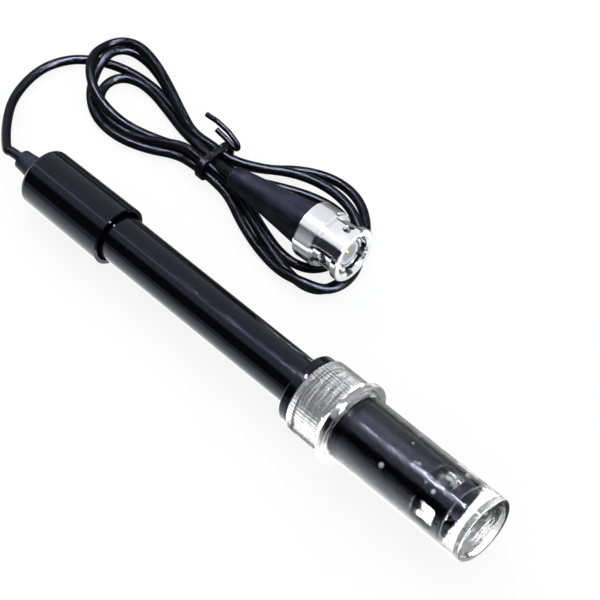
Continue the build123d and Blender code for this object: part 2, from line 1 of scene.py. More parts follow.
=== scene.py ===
"""Looks of the pH electrode in its storage bottle, with its tied cable and bayonet plug."""
import json
import math

import bpy
from mathutils import Matrix, Vector


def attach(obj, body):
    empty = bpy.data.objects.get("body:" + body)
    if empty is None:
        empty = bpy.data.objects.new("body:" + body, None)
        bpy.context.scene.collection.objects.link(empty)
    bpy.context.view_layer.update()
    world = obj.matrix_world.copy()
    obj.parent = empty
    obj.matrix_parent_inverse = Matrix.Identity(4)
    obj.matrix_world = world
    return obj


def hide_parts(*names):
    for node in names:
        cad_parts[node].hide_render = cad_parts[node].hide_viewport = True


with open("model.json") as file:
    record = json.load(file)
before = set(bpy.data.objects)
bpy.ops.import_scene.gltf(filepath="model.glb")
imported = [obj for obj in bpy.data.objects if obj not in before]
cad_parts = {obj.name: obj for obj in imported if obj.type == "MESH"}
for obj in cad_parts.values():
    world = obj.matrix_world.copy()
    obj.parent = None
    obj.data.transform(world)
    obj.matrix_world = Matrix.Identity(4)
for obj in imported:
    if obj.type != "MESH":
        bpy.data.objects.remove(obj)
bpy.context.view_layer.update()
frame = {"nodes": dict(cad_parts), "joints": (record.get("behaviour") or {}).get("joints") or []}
nodes = frame["nodes"]
joints = {joint["name"]: joint for joint in frame["joints"]}
mm = 0.001


# Axes of the electrode and of the plug

class Axis:
    """A turning axis: a start point, the direction along it and two directions square to it."""

    def __init__(self, point, direction, distance):
        self.along = Vector(direction).normalized()
        self.start = Vector(point) - self.along * distance
        self.side = self.along.cross(Vector((0, 0, 1))).normalized()
        self.up = self.side.cross(self.along)

    def at(self, distance, radius=0.0, angle=0.0):
        """The point at a distance along the axis, a radius out from it and an angle up from its side."""
        outward = self.side * math.cos(angle) + self.up * math.sin(angle)
        return self.start + self.along * distance + outward * radius

    def reach(self, node):
        """The first and last distance of a CAD node along the axis, and its largest radius."""
        offsets = [vertex.co - self.start for vertex in nodes[node].data.vertices]
        distances = [offset.dot(self.along) for offset in offsets]
        radii = [(offset - self.along * distance).length for offset, distance in zip(offsets, distances)]
        return min(distances), max(distances), max(radii)


# How far along the two axes the joints' own places lie
cap_turn_place = 97.675 * mm
sleeve_turn_place = 31.35 * mm
electrode = Axis(joints["cap_turn"]["pos_m"], joints["bottle_pull"]["axis"], cap_turn_place)
plug = Axis(joints["sleeve_turn"]["pos_m"], joints["sleeve_float"]["axis"], sleeve_turn_place)

# Sizes of the bottle and its cap. The bore's step is measured past the shoulder.
shoulder = 103.95 * mm
shoulder_chamfer = 0.5 * mm
neck_wall = 1.0 * mm
neck_bore = 6.75 * mm
bottle_wall = 1.1 * mm
bottle_floor = 1.0 * mm
bottle_edge = 0.7 * mm
recess_depth = 1.0 * mm
recess_taper = 0.3 * mm
recess_corner = 0.2 * mm
foot_width = 1.7 * mm
foot_chamfer = 0.15 * mm
floor_corner = 0.5 * mm
bore_step_start = 1.1 * mm
bore_step_end = 1.6 * mm
cap_wall = 0.9 * mm
cap_edge = 0.5 * mm
cap_top_wall = 1.35 * mm
cap_hole_radius = 6.2 * mm
flange_thickness = 1.7 * mm
flange_edge = 0.3 * mm
wet_overlap = 0.05 * mm
liquid_top = 0.6 * mm

# Sizes of the thread and the ribs. Within a skin of its surface, a point counts as on it.
thread_clearance = 0.1 * mm
thread_depth = 0.4 * mm
thread_pitch = 2.0 * mm
thread_sharpness = 3.0
neck_thread_start = 0.8 * mm
neck_thread_end = 8.2 * mm
neck_thread_fade = 0.6 * mm
neck_skin = 0.2 * mm
cap_thread_overrun = 1.0 * mm
cap_thread_fade = 0.3 * mm
groove_skin = 0.1 * mm
rib_count = 64
rib_height = 0.4 * mm
rib_sharpness = 1.6
rib_margin = 0.7 * mm
rib_end_gap = 0.1 * mm
rib_skin = 0.3 * mm

# Drops: how many to a square metre, the seed of their places, and their least and most radius
wall_drops = dict(density=26000.0, seed=11, least_size=0.33 * mm, most_size=0.9 * mm)
foot_drops = dict(density=200000.0, seed=5, least_size=0.19 * mm, most_size=0.42 * mm)
drop_sink = 0.16 * mm
drop_sides = 20
drop_rings = 12
drops_from_shoulder = 3 * mm
drops_from_end = 9 * mm
foot_drops_inside = 1.0 * mm
foot_drops_outside = 6.0 * mm

# How finely the turned meshes are divided
round_segments = 192
ribbed_segments = 768
drop_strip_segments = 48
neck_steps = 84
cap_steps = 20
cap_bore_steps = 90
cap_first_step = 0.6 * mm
bottle_last_ring = 12 * mm


# Node trees

class Tree:
    """Adds nodes to a node tree, with each input either a value or another node's output."""

    def __init__(self, tree):
        self.tree = tree

    def put(self, socket, value):
        if isinstance(value, bpy.types.NodeSocket):
            self.tree.links.new(value, socket)
        else:
            socket.default_value = value

    def add(self, kind, inputs=(), **settings):
        node = self.tree.nodes.new(kind)
        for name, value in settings.items():
            setattr(node, name, value)
        for key, value in dict(inputs).items():
            self.put(node.inputs[key], value)
        return node

    def math(self, operation, *values):
        return self.add("ShaderNodeMath", enumerate(values), operation=operation).outputs[0]

    def vector(self, operation, *values):
        node = self.add("ShaderNodeVectorMath", operation=operation)
        if operation == "SCALE":
            self.put(node.inputs[0], values[0])
            self.put(node.inputs["Scale"], values[1])
        else:
            for place, value in enumerate(values):
                self.put(node.inputs[place], value)
        return node.outputs["Value" if operation in ("DOT_PRODUCT", "LENGTH") else "Vector"]

    def range(self, value, low, high, new_low, new_high, kind="LINEAR"):
        places = {"Value": value, "From Min": low, "From Max": high, "To Min": new_low, "To Max": new_high}
        return self.add("ShaderNodeMapRange", places, interpolation_type=kind).outputs["Result"]

    def object_place(self, scale=(1, 1, 1)):
        """Object coordinates, with a pattern drawn out along an axis where its scale is small."""
        place = self.add("ShaderNodeTexCoord").outputs["Object"]
        return self.add("ShaderNodeMapping", {"Vector": place, "Scale": scale}).outputs["Vector"]

    def noise(self, scale, detail=3.0, roughness=0.55, stretch=(1, 1, 1)):
        values = {"Vector": self.object_place(stretch), "Scale": scale}
        values.update({"Detail": detail, "Roughness": roughness})
        return self.add("ShaderNodeTexNoise", values).outputs["Fac"]


# Finishes

class Finish:
    """A material on one principled shader, with patterns added to its colour, gloss and surface."""

    def __init__(self, name, colour, roughness, **sockets):
        self.material = bpy.data.materials.new(name)
        self.material.use_nodes = True
        self.tree = Tree(self.material.node_tree)
        self.shader = self.material.node_tree.nodes["Principled BSDF"]
        self.shader.inputs["Base Color"].default_value = (*colour, 1)
        self.shader.inputs["Roughness"].default_value = roughness
        for key, value in sockets.items():
            self.shader.inputs[key.replace("_", " ")].default_value = value
        self.surface = None

    def mottle(self, scale, dark, light, stretch=(1, 1, 1)):
        """The colour wanders between a dark and a light tone."""
        share = self.tree.range(self.tree.noise(scale, stretch=stretch), 0.35, 0.65, 0, 1)
        mix = self.tree.add("ShaderNodeMix", data_type="RGBA")
        self.tree.put(mix.inputs["Factor"], share)
        self.tree.put(mix.inputs[6], (*dark, 1))
        self.tree.put(mix.inputs[7], (*light, 1))
        self.tree.put(self.shader.inputs["Base Color"], mix.outputs[2])
        return self

    def uneven_gloss(self, scale, low, high, stretch=(1, 1, 1)):
        """The roughness wanders between two values."""
        share = self.tree.range(self.tree.noise(scale, 4.0, stretch=stretch), 0.3, 0.7, low, high)
        self.tree.put(self.shader.inputs["Roughness"], share)
        return self

    def relief(self, scale, depth, detail=3.0, stretch=(1, 1, 1)):
        """The surface rises and falls by a depth in metres."""
        values = {"Height": self.tree.noise(scale, detail, stretch=stretch), "Distance": depth}
        bump = self.tree.add("ShaderNodeBump", values)
        if self.surface is not None:
            self.tree.put(bump.inputs["Normal"], self.surface)
        self.surface = bump.outputs["Normal"]
        self.tree.put(self.shader.inputs["Normal"], self.surface)
        return self


# How strongly, and in what tint, a surface mirrors
faint_bluish = {"Specular_IOR_Level": 0.27, "Specular_Tint": (0.68, 0.70, 1.0, 1.0)}
fainter_bluish = {"Specular_IOR_Level": 0.1, "Specular_Tint": (0.7, 0.73, 1.0, 1.0)}
clear_bluish = {"Specular_Tint": (0.16, 0.16, 0.2, 1.0)}
sparkling = {"Coat_Weight": 1.0, "Coat_IOR": 2.2, "Coat_Roughness": 0.05}


def moulded_black():
    """Hard, polished black plastic of the tube, the cap and the ring."""
    finish = Finish("moulded_black", (0.002, 0.002, 0.003), 0.1, IOR=1.55, **faint_bluish)
    finish.uneven_gloss(420, 0.06, 0.14, stretch=(0.25, 1, 1))
    return finish.relief(130, 0.00003, 1.0, stretch=(0.12, 1, 1)).material


def boot_rubber():
    """Soft black rubber of the boot and the gland, dull with a faint bluish bloom."""
    finish = Finish("boot_rubber", (0.003, 0.003, 0.005), 0.5, IOR=1.5, **fainter_bluish)
    finish.mottle(260, (0.001, 0.001, 0.002), (0.006, 0.006, 0.011))
    finish.uneven_gloss(300, 0.36, 0.6)
    return finish.relief(3800, 0.000004, 4.0).material


def cable_skin():
    """Smooth black jacket of the cable, with a soft sheen along its top."""
    finish = Finish("cable_skin", (0.0015, 0.0015, 0.002), 0.3, IOR=1.5, **fainter_bluish)
    finish.uneven_gloss(350, 0.26, 0.42)
    return finish.relief(1500, 0.000003, 2.0).material


def tie_plastic():
    """Thin black plastic round the tie's wire, creased where it is bent."""
    finish = Finish("tie_skin", (0.0015, 0.0015, 0.002), 0.36, IOR=1.5, **fainter_bluish)
    finish.uneven_gloss(700, 0.28, 0.45)
    return finish.relief(1700, 0.00003, 4.0).material


def clear_plastic(name, roughness, wave_size, wave_depth, **sockets):
    """Clear moulded plastic, with waves in its wall."""
    finish = Finish(name, (1, 1, 1), roughness, IOR=1.49, Transmission_Weight=1.0, **sockets)
    return finish.relief(wave_size, wave_depth, 2.0, stretch=(0.7, 1, 1)).material


def water(name):
    """The clear storage liquid."""
    return Finish(name, (1, 1, 1), 0.0, IOR=1.333, Transmission_Weight=1.0, **clear_bluish).material


def blown_glass():
    """Thin clear glass of the stem and bulb."""
    return Finish("blown_glass", (0.96, 0.98, 0.97), 0.02, IOR=1.5, Transmission_Weight=1.0).material


def bright_nickel():
    """Polished nickel plate, with fine turning marks and uneven brightness."""
    finish = Finish("bright_nickel", (0.86, 0.865, 0.88), 0.12, Metallic=1.0)
    finish.uneven_gloss(900, 0.06, 0.16)
    return finish.relief(2200, 0.000003, 2.0, stretch=(3, 0.6, 0.6)).material


def plain_metal(name, colour, roughness):
    """Drawn or plated metal with a fine grain."""
    finish = Finish(name, colour, roughness, Metallic=1.0)
    return finish.relief(3000, 0.000002).material


def dull_solid(name, dark, light, low_gloss, high_gloss, depth):
    """Rubber, resin or ceramic with a wandering colour and a fine grain."""
    finish = Finish(name, dark, low_gloss, IOR=1.48)
    finish.mottle(600, dark, light)
    finish.uneven_gloss(900, low_gloss, high_gloss)
    return finish.relief(4200, depth, 5.0).material


finishes = {
    "black_plastic": moulded_black(),
    "black_rubber": boot_rubber(),
    "cable_jacket": cable_skin(),
    "tie_plastic": tie_plastic(),
    "electrode_glass": blown_glass(),
    "clear_plastic": clear_plastic("bottle_plastic", 0.01, 700, 0.00010, **clear_bluish),
    "seal_rubber": dull_solid(
        "seal_rubber", (0.010, 0.010, 0.011), (0.018, 0.018, 0.020), 0.42, 0.6, 0.000006
    ),
    "junction_ceramic": dull_solid(
        "junction_ceramic", (0.55, 0.53, 0.48), (0.7, 0.68, 0.62), 0.6, 0.8, 0.00001
    ),
    "potting_resin": dull_solid(
        "potting_resin", (0.02, 0.018, 0.015), (0.035, 0.03, 0.024), 0.3, 0.45, 0.000006
    ),
    "silver": plain_metal("drawn_silver", (0.82, 0.81, 0.79), 0.22),
    "nickel": bright_nickel(),
    "gold_pin": plain_metal("gold_plate", (0.86, 0.58, 0.22), 0.2),
    "white_insulator": dull_solid(
        "insulator_white", (0.74, 0.77, 0.86), (0.84, 0.86, 0.92), 0.28, 0.4, 0.000003
    ),
    "core_insulation": dull_solid(
        "core_insulation", (0.62, 0.6, 0.55), (0.74, 0.72, 0.68), 0.4, 0.55, 0.000004
    ),
}
cap_finish = clear_plastic("cap_plastic", 0.02, 220, 0.000002, **sparkling)
liquid_finish = water("storage_liquid")
# The drops' pale grey diffuse share is a painted sheen. It stands in for the grey that clear drops and
# bubbles show by reflection.
drop_finish_painted_sheen = Finish("water_drop_painted_sheen", (0.62, 0.64, 0.72), 0.12, IOR=1.333, Transmission_Weight=0.6).material


# Making meshes

def new_piece(name, data):
    """An object in the scene, at the origin."""
    piece = bpy.data.objects.new(name, data)
    bpy.context.scene.collection.objects.link(piece)
    return piece


def new_input(tree, name, kind, value=None):
    """Adds a named input to a Geometry Nodes tree."""
    socket = tree.interface.new_socket(name, in_out="INPUT", socket_type=kind)
    if value is not None:
        socket.default_value = value


def new_tree(name):
    """A Geometry Nodes tree with a geometry input and output."""
    tree = bpy.data.node_groups.new(name, "GeometryNodeTree")
    for way in ("INPUT", "OUTPUT"):
        tree.interface.new_socket("Geometry", in_out=way, socket_type="NodeSocketGeometry")
    return tree


def end_tree(build, geometry, finish):
    """Ends a tree in real geometry with its finish on it."""
    plain = build.add("GeometryNodeRealizeInstances", {"Geometry": geometry}).outputs[0]
    shown = build.add("GeometryNodeSetMaterial", {"Geometry": plain, "Material": finish}).outputs[0]
    build.put(build.add("NodeGroupOutput").inputs[0], shown)


def make_plain(piece, tree, values):
    """Runs a Geometry Nodes tree on a piece, with inputs set by identifier, and keeps the plain mesh."""
    modifier = piece.modifiers.new(tree.name, "NODES")
    modifier.node_group = tree
    for item in tree.interface.items_tree:
        if item.in_out == "INPUT" and item.name in values:
            modifier[item.identifier] = values[item.name]
    evaluated = piece.evaluated_get(bpy.context.evaluated_depsgraph_get())
    mesh = bpy.data.meshes.new_from_object(evaluated)
    old_mesh = piece.data
    piece.modifiers.remove(modifier)
    piece.data = mesh
    mesh.name = piece.name
    bpy.data.meshes.remove(old_mesh)
    return piece


def smooth_faces(mesh, angle=35.0):
    """Shades a mesh smooth, apart from edges sharper than an angle in degrees."""
    mesh.polygons.foreach_set("use_smooth", [True] * len(mesh.polygons))
    mesh.set_sharp_from_angle(angle=math.radians(angle))
    mesh.update()


def lathe(name, axis, outline, segments, closed=True):
    """A smooth turned mesh from an outline of (distance, radius) points, outside first."""
    points = []
    rings = []
    for distance, radius in outline:
        count = segments if radius > 1e-9 else 1
        ring = [axis.at(distance, radius, 2 * math.pi * step / segments) for step in range(count)]
        rings.append(range(len(points), len(points) + count))
        points += ring
    faces = []
    pairs = list(zip(rings, rings[1:]))
    if closed:
        pairs.append((rings[-1], rings[0]))
    for first, second in pairs:
        if len(first) == 1 and len(second) == 1:
            continue
        for step in range(segments):
            after = (step + 1) % segments
            corners = [first[step % len(first)], second[step % len(second)]]
            corners += [second[after % len(second)], first[after % len(first)]]
            faces.append(list(dict.fromkeys(corners)))
    mesh = bpy.data.meshes.new(name)
    mesh.from_pydata(points, [], faces)
    smooth_faces(mesh)
    return new_piece(name, mesh)


def arc(centre, radius, start, end, steps=5):
    """Points (distance, radius) of an arc in a turned outline, angles in degrees from the axis."""
    angles = [math.radians(start + (end - start) * step / steps) for step in range(steps + 1)]
    return [(centre[0] + radius * math.cos(a), centre[1] + radius * math.sin(a)) for a in angles]


def steps_between(start, end, count):
    """Evenly spaced distances from start to end."""
    return [start + (end - start) * step / count for step in range(count + 1)]


# Ridges that repeat round a turned surface: ribs and threads

def ridge_tree():
    """Raises waves round an axis, which run along it or wind about it, between two distances."""
    tree = new_tree("ridges_round_an_axis")
    new_input(tree, "Axis Start", "NodeSocketVector")
    new_input(tree, "Axis Direction", "NodeSocketVector")
    new_input(tree, "Side Direction", "NodeSocketVector")
    new_input(tree, "Up Direction", "NodeSocketVector")
    new_input(tree, "Count", "NodeSocketFloat", 1.0)
    new_input(tree, "Turns Per Metre", "NodeSocketFloat", 0.0)
    new_input(tree, "Height", "NodeSocketFloat", 0.0003)
    new_input(tree, "Sharpness", "NodeSocketFloat", 1.0)
    new_input(tree, "First Distance", "NodeSocketFloat", 0.0)
    new_input(tree, "Last Distance", "NodeSocketFloat", 1.0)
    new_input(tree, "Fade Length", "NodeSocketFloat", 0.0003)
    new_input(tree, "Least Radius", "NodeSocketFloat", 0.0)
    new_input(tree, "Most Radius", "NodeSocketFloat", 1.0)
    new_input(tree, "Finish", "NodeSocketMaterial")
    build = Tree(tree)
    given = build.add("NodeGroupInput").outputs
    place = build.add("GeometryNodeInputPosition").outputs[0]
    offset = build.vector("SUBTRACT", place, given["Axis Start"])
    distance = build.vector("DOT_PRODUCT", offset, given["Axis Direction"])
    outward = build.vector("SUBTRACT", offset, build.vector("SCALE", given["Axis Direction"], distance))
    radius = build.vector("LENGTH", outward)
    angle = build.math(
        "ARCTAN2",
        build.vector("DOT_PRODUCT", outward, given["Up Direction"]),
        build.vector("DOT_PRODUCT", outward, given["Side Direction"]),
    )
    turns = build.math("MULTIPLY", build.math("MULTIPLY", distance, given["Turns Per Metre"]), 2 * math.pi)
    phase = build.math("ADD", build.math("MULTIPLY", angle, given["Count"]), turns)
    wave = build.math("ADD", build.math("MULTIPLY", build.math("COSINE", phase), 0.5), 0.5)
    ridge = build.math("POWER", wave, given["Sharpness"])
    full_from = build.math("ADD", given["First Distance"], given["Fade Length"])
    full_to = build.math("SUBTRACT", given["Last Distance"], given["Fade Length"])
    begun = build.range(distance, given["First Distance"], full_from, 0.0, 1.0, "SMOOTHSTEP")
    ended = build.range(distance, full_to, given["Last Distance"], 1.0, 0.0, "SMOOTHSTEP")
    on_surface = build.math(
        "MULTIPLY",
        build.math("GREATER_THAN", radius, given["Least Radius"]),
        build.math("LESS_THAN", radius, given["Most Radius"]),
    )
    in_reach = build.math("MULTIPLY", begun, ended)
    share = build.math("MULTIPLY", in_reach, build.math("MULTIPLY", ridge, on_surface))
    lift = build.vector(
        "SCALE", build.vector("NORMALIZE", outward), build.math("MULTIPLY", share, given["Height"])
    )
    moved = build.add("GeometryNodeSetPosition", {"Geometry": given["Geometry"], "Offset": lift})
    end_tree(build, moved.outputs[0], given["Finish"])
    return tree


ridges = ridge_tree()


def raise_ridges(piece, axis, **values):
    """Raises ridges on a turned piece. Each value's name is the tree input's, with underscores."""
    named = {key.replace("_", " ").title(): value for key, value in values.items()}
    named["Axis Start"] = axis.start
    named["Axis Direction"] = axis.along
    named["Side Direction"] = axis.side
    named["Up Direction"] = axis.up
    make_plain(piece, ridges, named)
    smooth_faces(piece.data)
    return piece


# Storage bottle

bottle_start, bottle_end, bottle_radius = electrode.reach("storage_bottle")
bottle_bore = bottle_radius - bottle_wall
neck_radius = neck_bore + neck_wall
recess_floor = bottle_end - recess_depth
bottle_inner_end = recess_floor - bottle_floor
thread = dict(count=1.0, turns_per_metre=1 / thread_pitch, height=thread_depth, sharpness=thread_sharpness)


def bottle_outline():
    """The outside from the neck's rim to the foot, the recess, then the inside back to the rim."""
    outline = [(distance, neck_radius) for distance in steps_between(bottle_start, shoulder, neck_steps)]
    outline += [(shoulder, bottle_radius - shoulder_chamfer)]
    outline += [(shoulder + shoulder_chamfer, bottle_radius)]
    outline += [(bottle_end - bottle_last_ring, bottle_radius)]
    outline += arc((bottle_end - bottle_edge, bottle_radius - bottle_edge), bottle_edge, 90, 0, 8)
    recess_radius = bottle_radius - foot_width
    outline += [(bottle_end, recess_radius + foot_chamfer)]
    outline += [(bottle_end - foot_chamfer, recess_radius)]
    outline += [(recess_floor + recess_corner, recess_radius - recess_taper + recess_corner / 2)]
    outline += [(recess_floor, recess_radius - recess_taper - foot_chamfer)]
    outline += [(recess_floor, 0.0), (bottle_inner_end, 0.0)]
    outline += arc((bottle_inner_end - floor_corner, bottle_bore - floor_corner), floor_corner, 0, 90, 6)
    outline += [(shoulder + bore_step_end, bottle_bore)]
    outline += [(shoulder + bore_step_start, neck_bore)]
    outline += [(bottle_start, neck_bore)]
    return outline


def make_bottle():
    """The bottle with its foot, its recess and the thread on its neck."""
    piece = lathe("bottle_shell", electrode, bottle_outline(), round_segments)
    raise_ridges(
        piece, electrode, **thread, fade_length=neck_thread_fade,
        first_distance=bottle_start + neck_thread_start, last_distance=bottle_start + neck_thread_end,
        least_radius=neck_radius - neck_skin, finish=finishes["clear_plastic"],
    )
    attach(piece, "bottle")
    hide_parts("storage_bottle")


def drop_tree():
    """Scatters small balls of uneven size over a surface, above a least height."""
    tree = new_tree("drops_on_a_wall")
    new_input(tree, "Density", "NodeSocketFloat", 10000.0)
    new_input(tree, "Seed", "NodeSocketInt", 3)
    new_input(tree, "Least Height", "NodeSocketFloat", 0.0)
    new_input(tree, "Least Size", "NodeSocketFloat", 0.0002)
    new_input(tree, "Most Size", "NodeSocketFloat", 0.0008)
    new_input(tree, "Finish", "NodeSocketMaterial")
    build = Tree(tree)
    given = build.add("NodeGroupInput").outputs
    place = build.add("GeometryNodeInputPosition").outputs[0]
    level = build.add("ShaderNodeSeparateXYZ", {0: place}).outputs["Z"]
    high = build.math("GREATER_THAN", level, given["Least Height"])
    points = build.add(
        "GeometryNodeDistributePointsOnFaces",
        {"Mesh": given["Geometry"], "Selection": high, "Density": given["Density"], "Seed": given["Seed"]},
    )
    share = build.add("FunctionNodeRandomValue", {"Seed": given["Seed"]}, data_type="FLOAT").outputs[1]
    size = build.range(build.math("POWER", share, 2.0), 0.0, 1.0, given["Least Size"], given["Most Size"])
    ball = build.add(
        "GeometryNodeMeshUVSphere", {"Segments": drop_sides, "Rings": drop_rings, "Radius": 1.0}
    )
    placed = build.add(
        "GeometryNodeInstanceOnPoints",
        {"Points": points.outputs["Points"], "Instance": ball.outputs["Mesh"], "Scale": size},
    )
    end_tree(build, placed.outputs[0], given["Finish"])
    return tree


drops = drop_tree()


def scatter_drops(name, outline, least_height, **values):
    """Scatters drops over a turned strip. Each value's name is the tree input's, with underscores."""
    piece = lathe(name, electrode, outline, drop_strip_segments, closed=False)
    named = {key.replace("_", " ").title(): value for key, value in values.items()}
    make_plain(piece, drops, {**named, "Least Height": least_height, "Finish": drop_finish_painted_sheen})
    smooth_faces(piece.data)
    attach(piece, "bottle")


def make_drops():
    """Drops on the bottle's upper wall and under its foot, sunk a little into the plastic."""
    wall_radius = bottle_radius - drop_sink
    wall = [(shoulder + drops_from_shoulder, wall_radius), (bottle_end - drops_from_end, wall_radius)]
    foot_place = recess_floor - drop_sink
    foot = [(foot_place, foot_drops_inside), (foot_place, foot_drops_outside)]
    upper_wall = electrode.at(bottle_start).z + 0.5 * bottle_radius
    scatter_drops("wall_drops", wall, upper_wall, **wall_drops)
    scatter_drops("foot_drops", foot, 0.0, **foot_drops)


def make_liquid():
    """The liquid that fills the bottle round the tube. It reaches a little into the bottle's wall."""
    wet_bore = bottle_bore + wet_overlap
    wet_neck = neck_bore + wet_overlap
    outline = [(bottle_start + liquid_top, 0.0), (bottle_start + liquid_top, wet_neck)]
    outline += [(shoulder + bore_step_start, wet_neck), (shoulder + bore_step_end, wet_bore)]
    corner = (bottle_inner_end - floor_corner, bottle_bore - floor_corner)
    outline += arc(corner, floor_corner + wet_overlap, 90, 0, 6)
    outline += [(bottle_inner_end + wet_overlap, 0.0)]
    piece = lathe("liquid", electrode, outline, round_segments, closed=False)
    piece.data.materials.append(liquid_finish)
    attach(piece, "bottle")


# Screw cap

cap_start, cap_end, flange_radius = electrode.reach("bottle_cap")
cap_bore = neck_radius + thread_depth
cap_radius = cap_bore + cap_wall
flange_start = cap_end - flange_thickness


def cap_outline():
    """The outside from the top face to the flange, then the inside back to the tube's hole."""
    inner_radius = neck_radius + thread_clearance
    inner_end = cap_start + cap_top_wall
    outline = [(cap_start, cap_hole_radius)]
    outline += arc((cap_start + cap_edge, cap_radius - cap_edge), cap_edge, 180, 90, 5)
    outline += [(d, cap_radius) for d in steps_between(cap_start + cap_first_step, flange_start, cap_steps)]
    outline += arc((flange_start + flange_edge, flange_radius - flange_edge), flange_edge, 180, 90, 4)
    outline += arc((cap_end - flange_edge, flange_radius - flange_edge), flange_edge, 90, 0, 4)
    outline += [(d, inner_radius) for d in steps_between(cap_end, inner_end, cap_bore_steps)]
    outline += [(inner_end, cap_hole_radius)]
    return outline


def make_screw_cap():
    """The cap: the thread's groove is pressed into its inner wall, and ribs stand on its outside."""
    piece = lathe("screw_cap_shell", electrode, cap_outline(), ribbed_segments)
    raise_ridges(
        piece, electrode, **thread, fade_length=cap_thread_fade,
        first_distance=cap_start, last_distance=cap_end + cap_thread_overrun,
        least_radius=neck_radius, most_radius=cap_bore - groove_skin, finish=cap_finish,
    )
    raise_ridges(
        piece, electrode, count=float(rib_count), height=rib_height, sharpness=rib_sharpness,
        first_distance=cap_start + rib_end_gap, last_distance=flange_start - rib_end_gap,
        fade_length=rib_margin, least_radius=cap_radius - rib_skin, finish=cap_finish,
    )
    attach(piece, "screw_cap")
    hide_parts("bottle_cap")


# Cable: its own listed points where it lies free, and a loop for the tied turns

cable_radius = 1.2 * mm
gland_start = electrode.reach("cable_gland")[0]
gland_straight = 4 * mm
boot_start = plug.reach("plug_boot")[0]
boot_straight = 8 * mm

# Places on the cable are in millimetres. A strand keeps its lane up to about near_tie from the tie.
tie_place = (-44.6, 34.3)
tie_half_length = 3.0
tie_height = 2.1
near_tie = 5.5

lead_route = [
    (-80.0, -1.0, 7.0),
    (-88.6, 6.2, 4.4),
    (-95.9, 14.6, 1.25),
    (-98.0, 24.4, 1.25),
    (-95.6, 31.8, 1.25),
    (-90.8, 36.4, 1.25),
    (-84.8, 39.4, 1.25),
    (-78.0, 40.8, 1.25),
    (-70.5, 40.8, 1.25),
    (-62.0, 39.2, 1.25),
    (-54.5, 37.2, 1.35),
]

# Each turn goes out from the tie to side 1, right, or -1, left. Its lobe has a reach, a half width,
# a fullness of its end and two leans. Its lanes are where it leaves the tie and where it comes back,
# and its heights stand at shares of the turn, so that most strands cross one above the other.
turns = [
    dict(side=1, reach=41.3, width=9.5, fullness=1.44, leans=(7.6, -6.7), lanes=(1.2, -1.2),
         heights=[(0, 2.1), (0.2, 1.25), (0.8, 1.25), (1, 2.1)]),
    dict(side=-1, reach=46.3, width=9.2, fullness=1.3, leans=(-4.0, 10.0), lanes=(-1.2, 2.4),
         heights=[(0, 2.1), (0.26, 2.2), (0.33, 3.9), (0.38, 5.0), (0.44, 5.0),
                  (0.53, 2.4), (0.6, 3.8), (1, 4.2)]),
    dict(side=1, reach=47.2, width=12.3, fullness=0.84, leans=(9.5, -12.1), lanes=(2.4, -3.6),
         heights=[(0, 4.2), (0.1, 3.7), (0.35, 3.7), (0.43, 1.25), (0.55, 1.25),
                  (0.6, 3.2), (0.64, 3.2), (0.7, 1.25), (1, 2.1)]),
    dict(side=-1, reach=43.7, width=10.4, fullness=1.15, leans=(-11.0, 16.2), lanes=(-3.6, 3.6),
         heights=[(0, 2.1), (0.2, 1.25), (0.42, 1.25), (0.47, 3.6), (0.53, 3.6), (0.6, 1.25), (1, 2.1)]),
    dict(side=1, reach=46.3, width=13.5, fullness=0.92, leans=(24.9, -28.1), lanes=(3.6, -2.4),
         heights=[(0, 2.1), (0.2, 1.25), (0.8, 1.25), (0.9, 3.9), (1, 4.2)]),
    dict(side=-1, reach=38.1, width=7.0, fullness=1.35, leans=(-7.0, 6.8), lanes=(-2.4, 0.0),
         heights=[(0, 4.2), (0.14, 4.0), (0.24, 1.25), (0.78, 1.25), (0.87, 3.9), (1, 4.2)]),
]

tail_route = [
    (-42.9, 33.9, 4.3),
    (-38.5, 31.5, 8.1),
]


def eased_height(keys, share):
    """The height at a share of a turn, eased between the keys (share, height)."""
    for (first, low), (last, high) in zip(keys, keys[1:]):
        if share <= last:
            step = (share - first) / (last - first)
            return low + (high - low) * step * step * (3 - 2 * step)
    return keys[-1][1]


def cable_turn(side, reach, width, fullness, leans, lanes, heights, count=16):
    """One turn of the hank: out from the tie along a lane, round a pear-shaped lobe and back."""
    widest = fullness / (fullness + 0.5)
    scale = width / (widest ** fullness * math.sqrt(1 - widest))
    points = []
    for number in range(count + 1):
        if number in (1, count - 1):
            continue
        share = number / count
        half_turn = math.pi * share
        out = math.sin(half_turn) ** 2
        lobe = scale * out ** fullness * math.cos(half_turn) * side
        lobe += leans[0] * out + leans[1] * out * out
        lane = lanes[0] if share < 0.5 else lanes[1]
        held = math.exp(-((reach * out / near_tie) ** 2))
        points.append((
            tie_place[0] + side * (tie_half_length + (reach - tie_half_length) * out),
            tie_place[1] + lane * held + lobe * (1 - held),
            eased_height(heights, share),
        ))
    return points


def cable_route():
    """The whole cable from the gland to the boot, in millimetres."""
    inside_gland = electrode.at(gland_start + gland_straight) / mm
    outside_gland = electrode.at(gland_start - gland_straight) / mm
    route = [tuple(inside_gland), tuple(outside_gland)] + lead_route
    route.append((tie_place[0] - tie_half_length, tie_place[1] + turns[0]["lanes"][0], tie_height))
    for turn in turns:
        route += cable_turn(**turn)
    return route + tail_route + [tuple(plug.at(boot_start + boot_straight) / mm)]


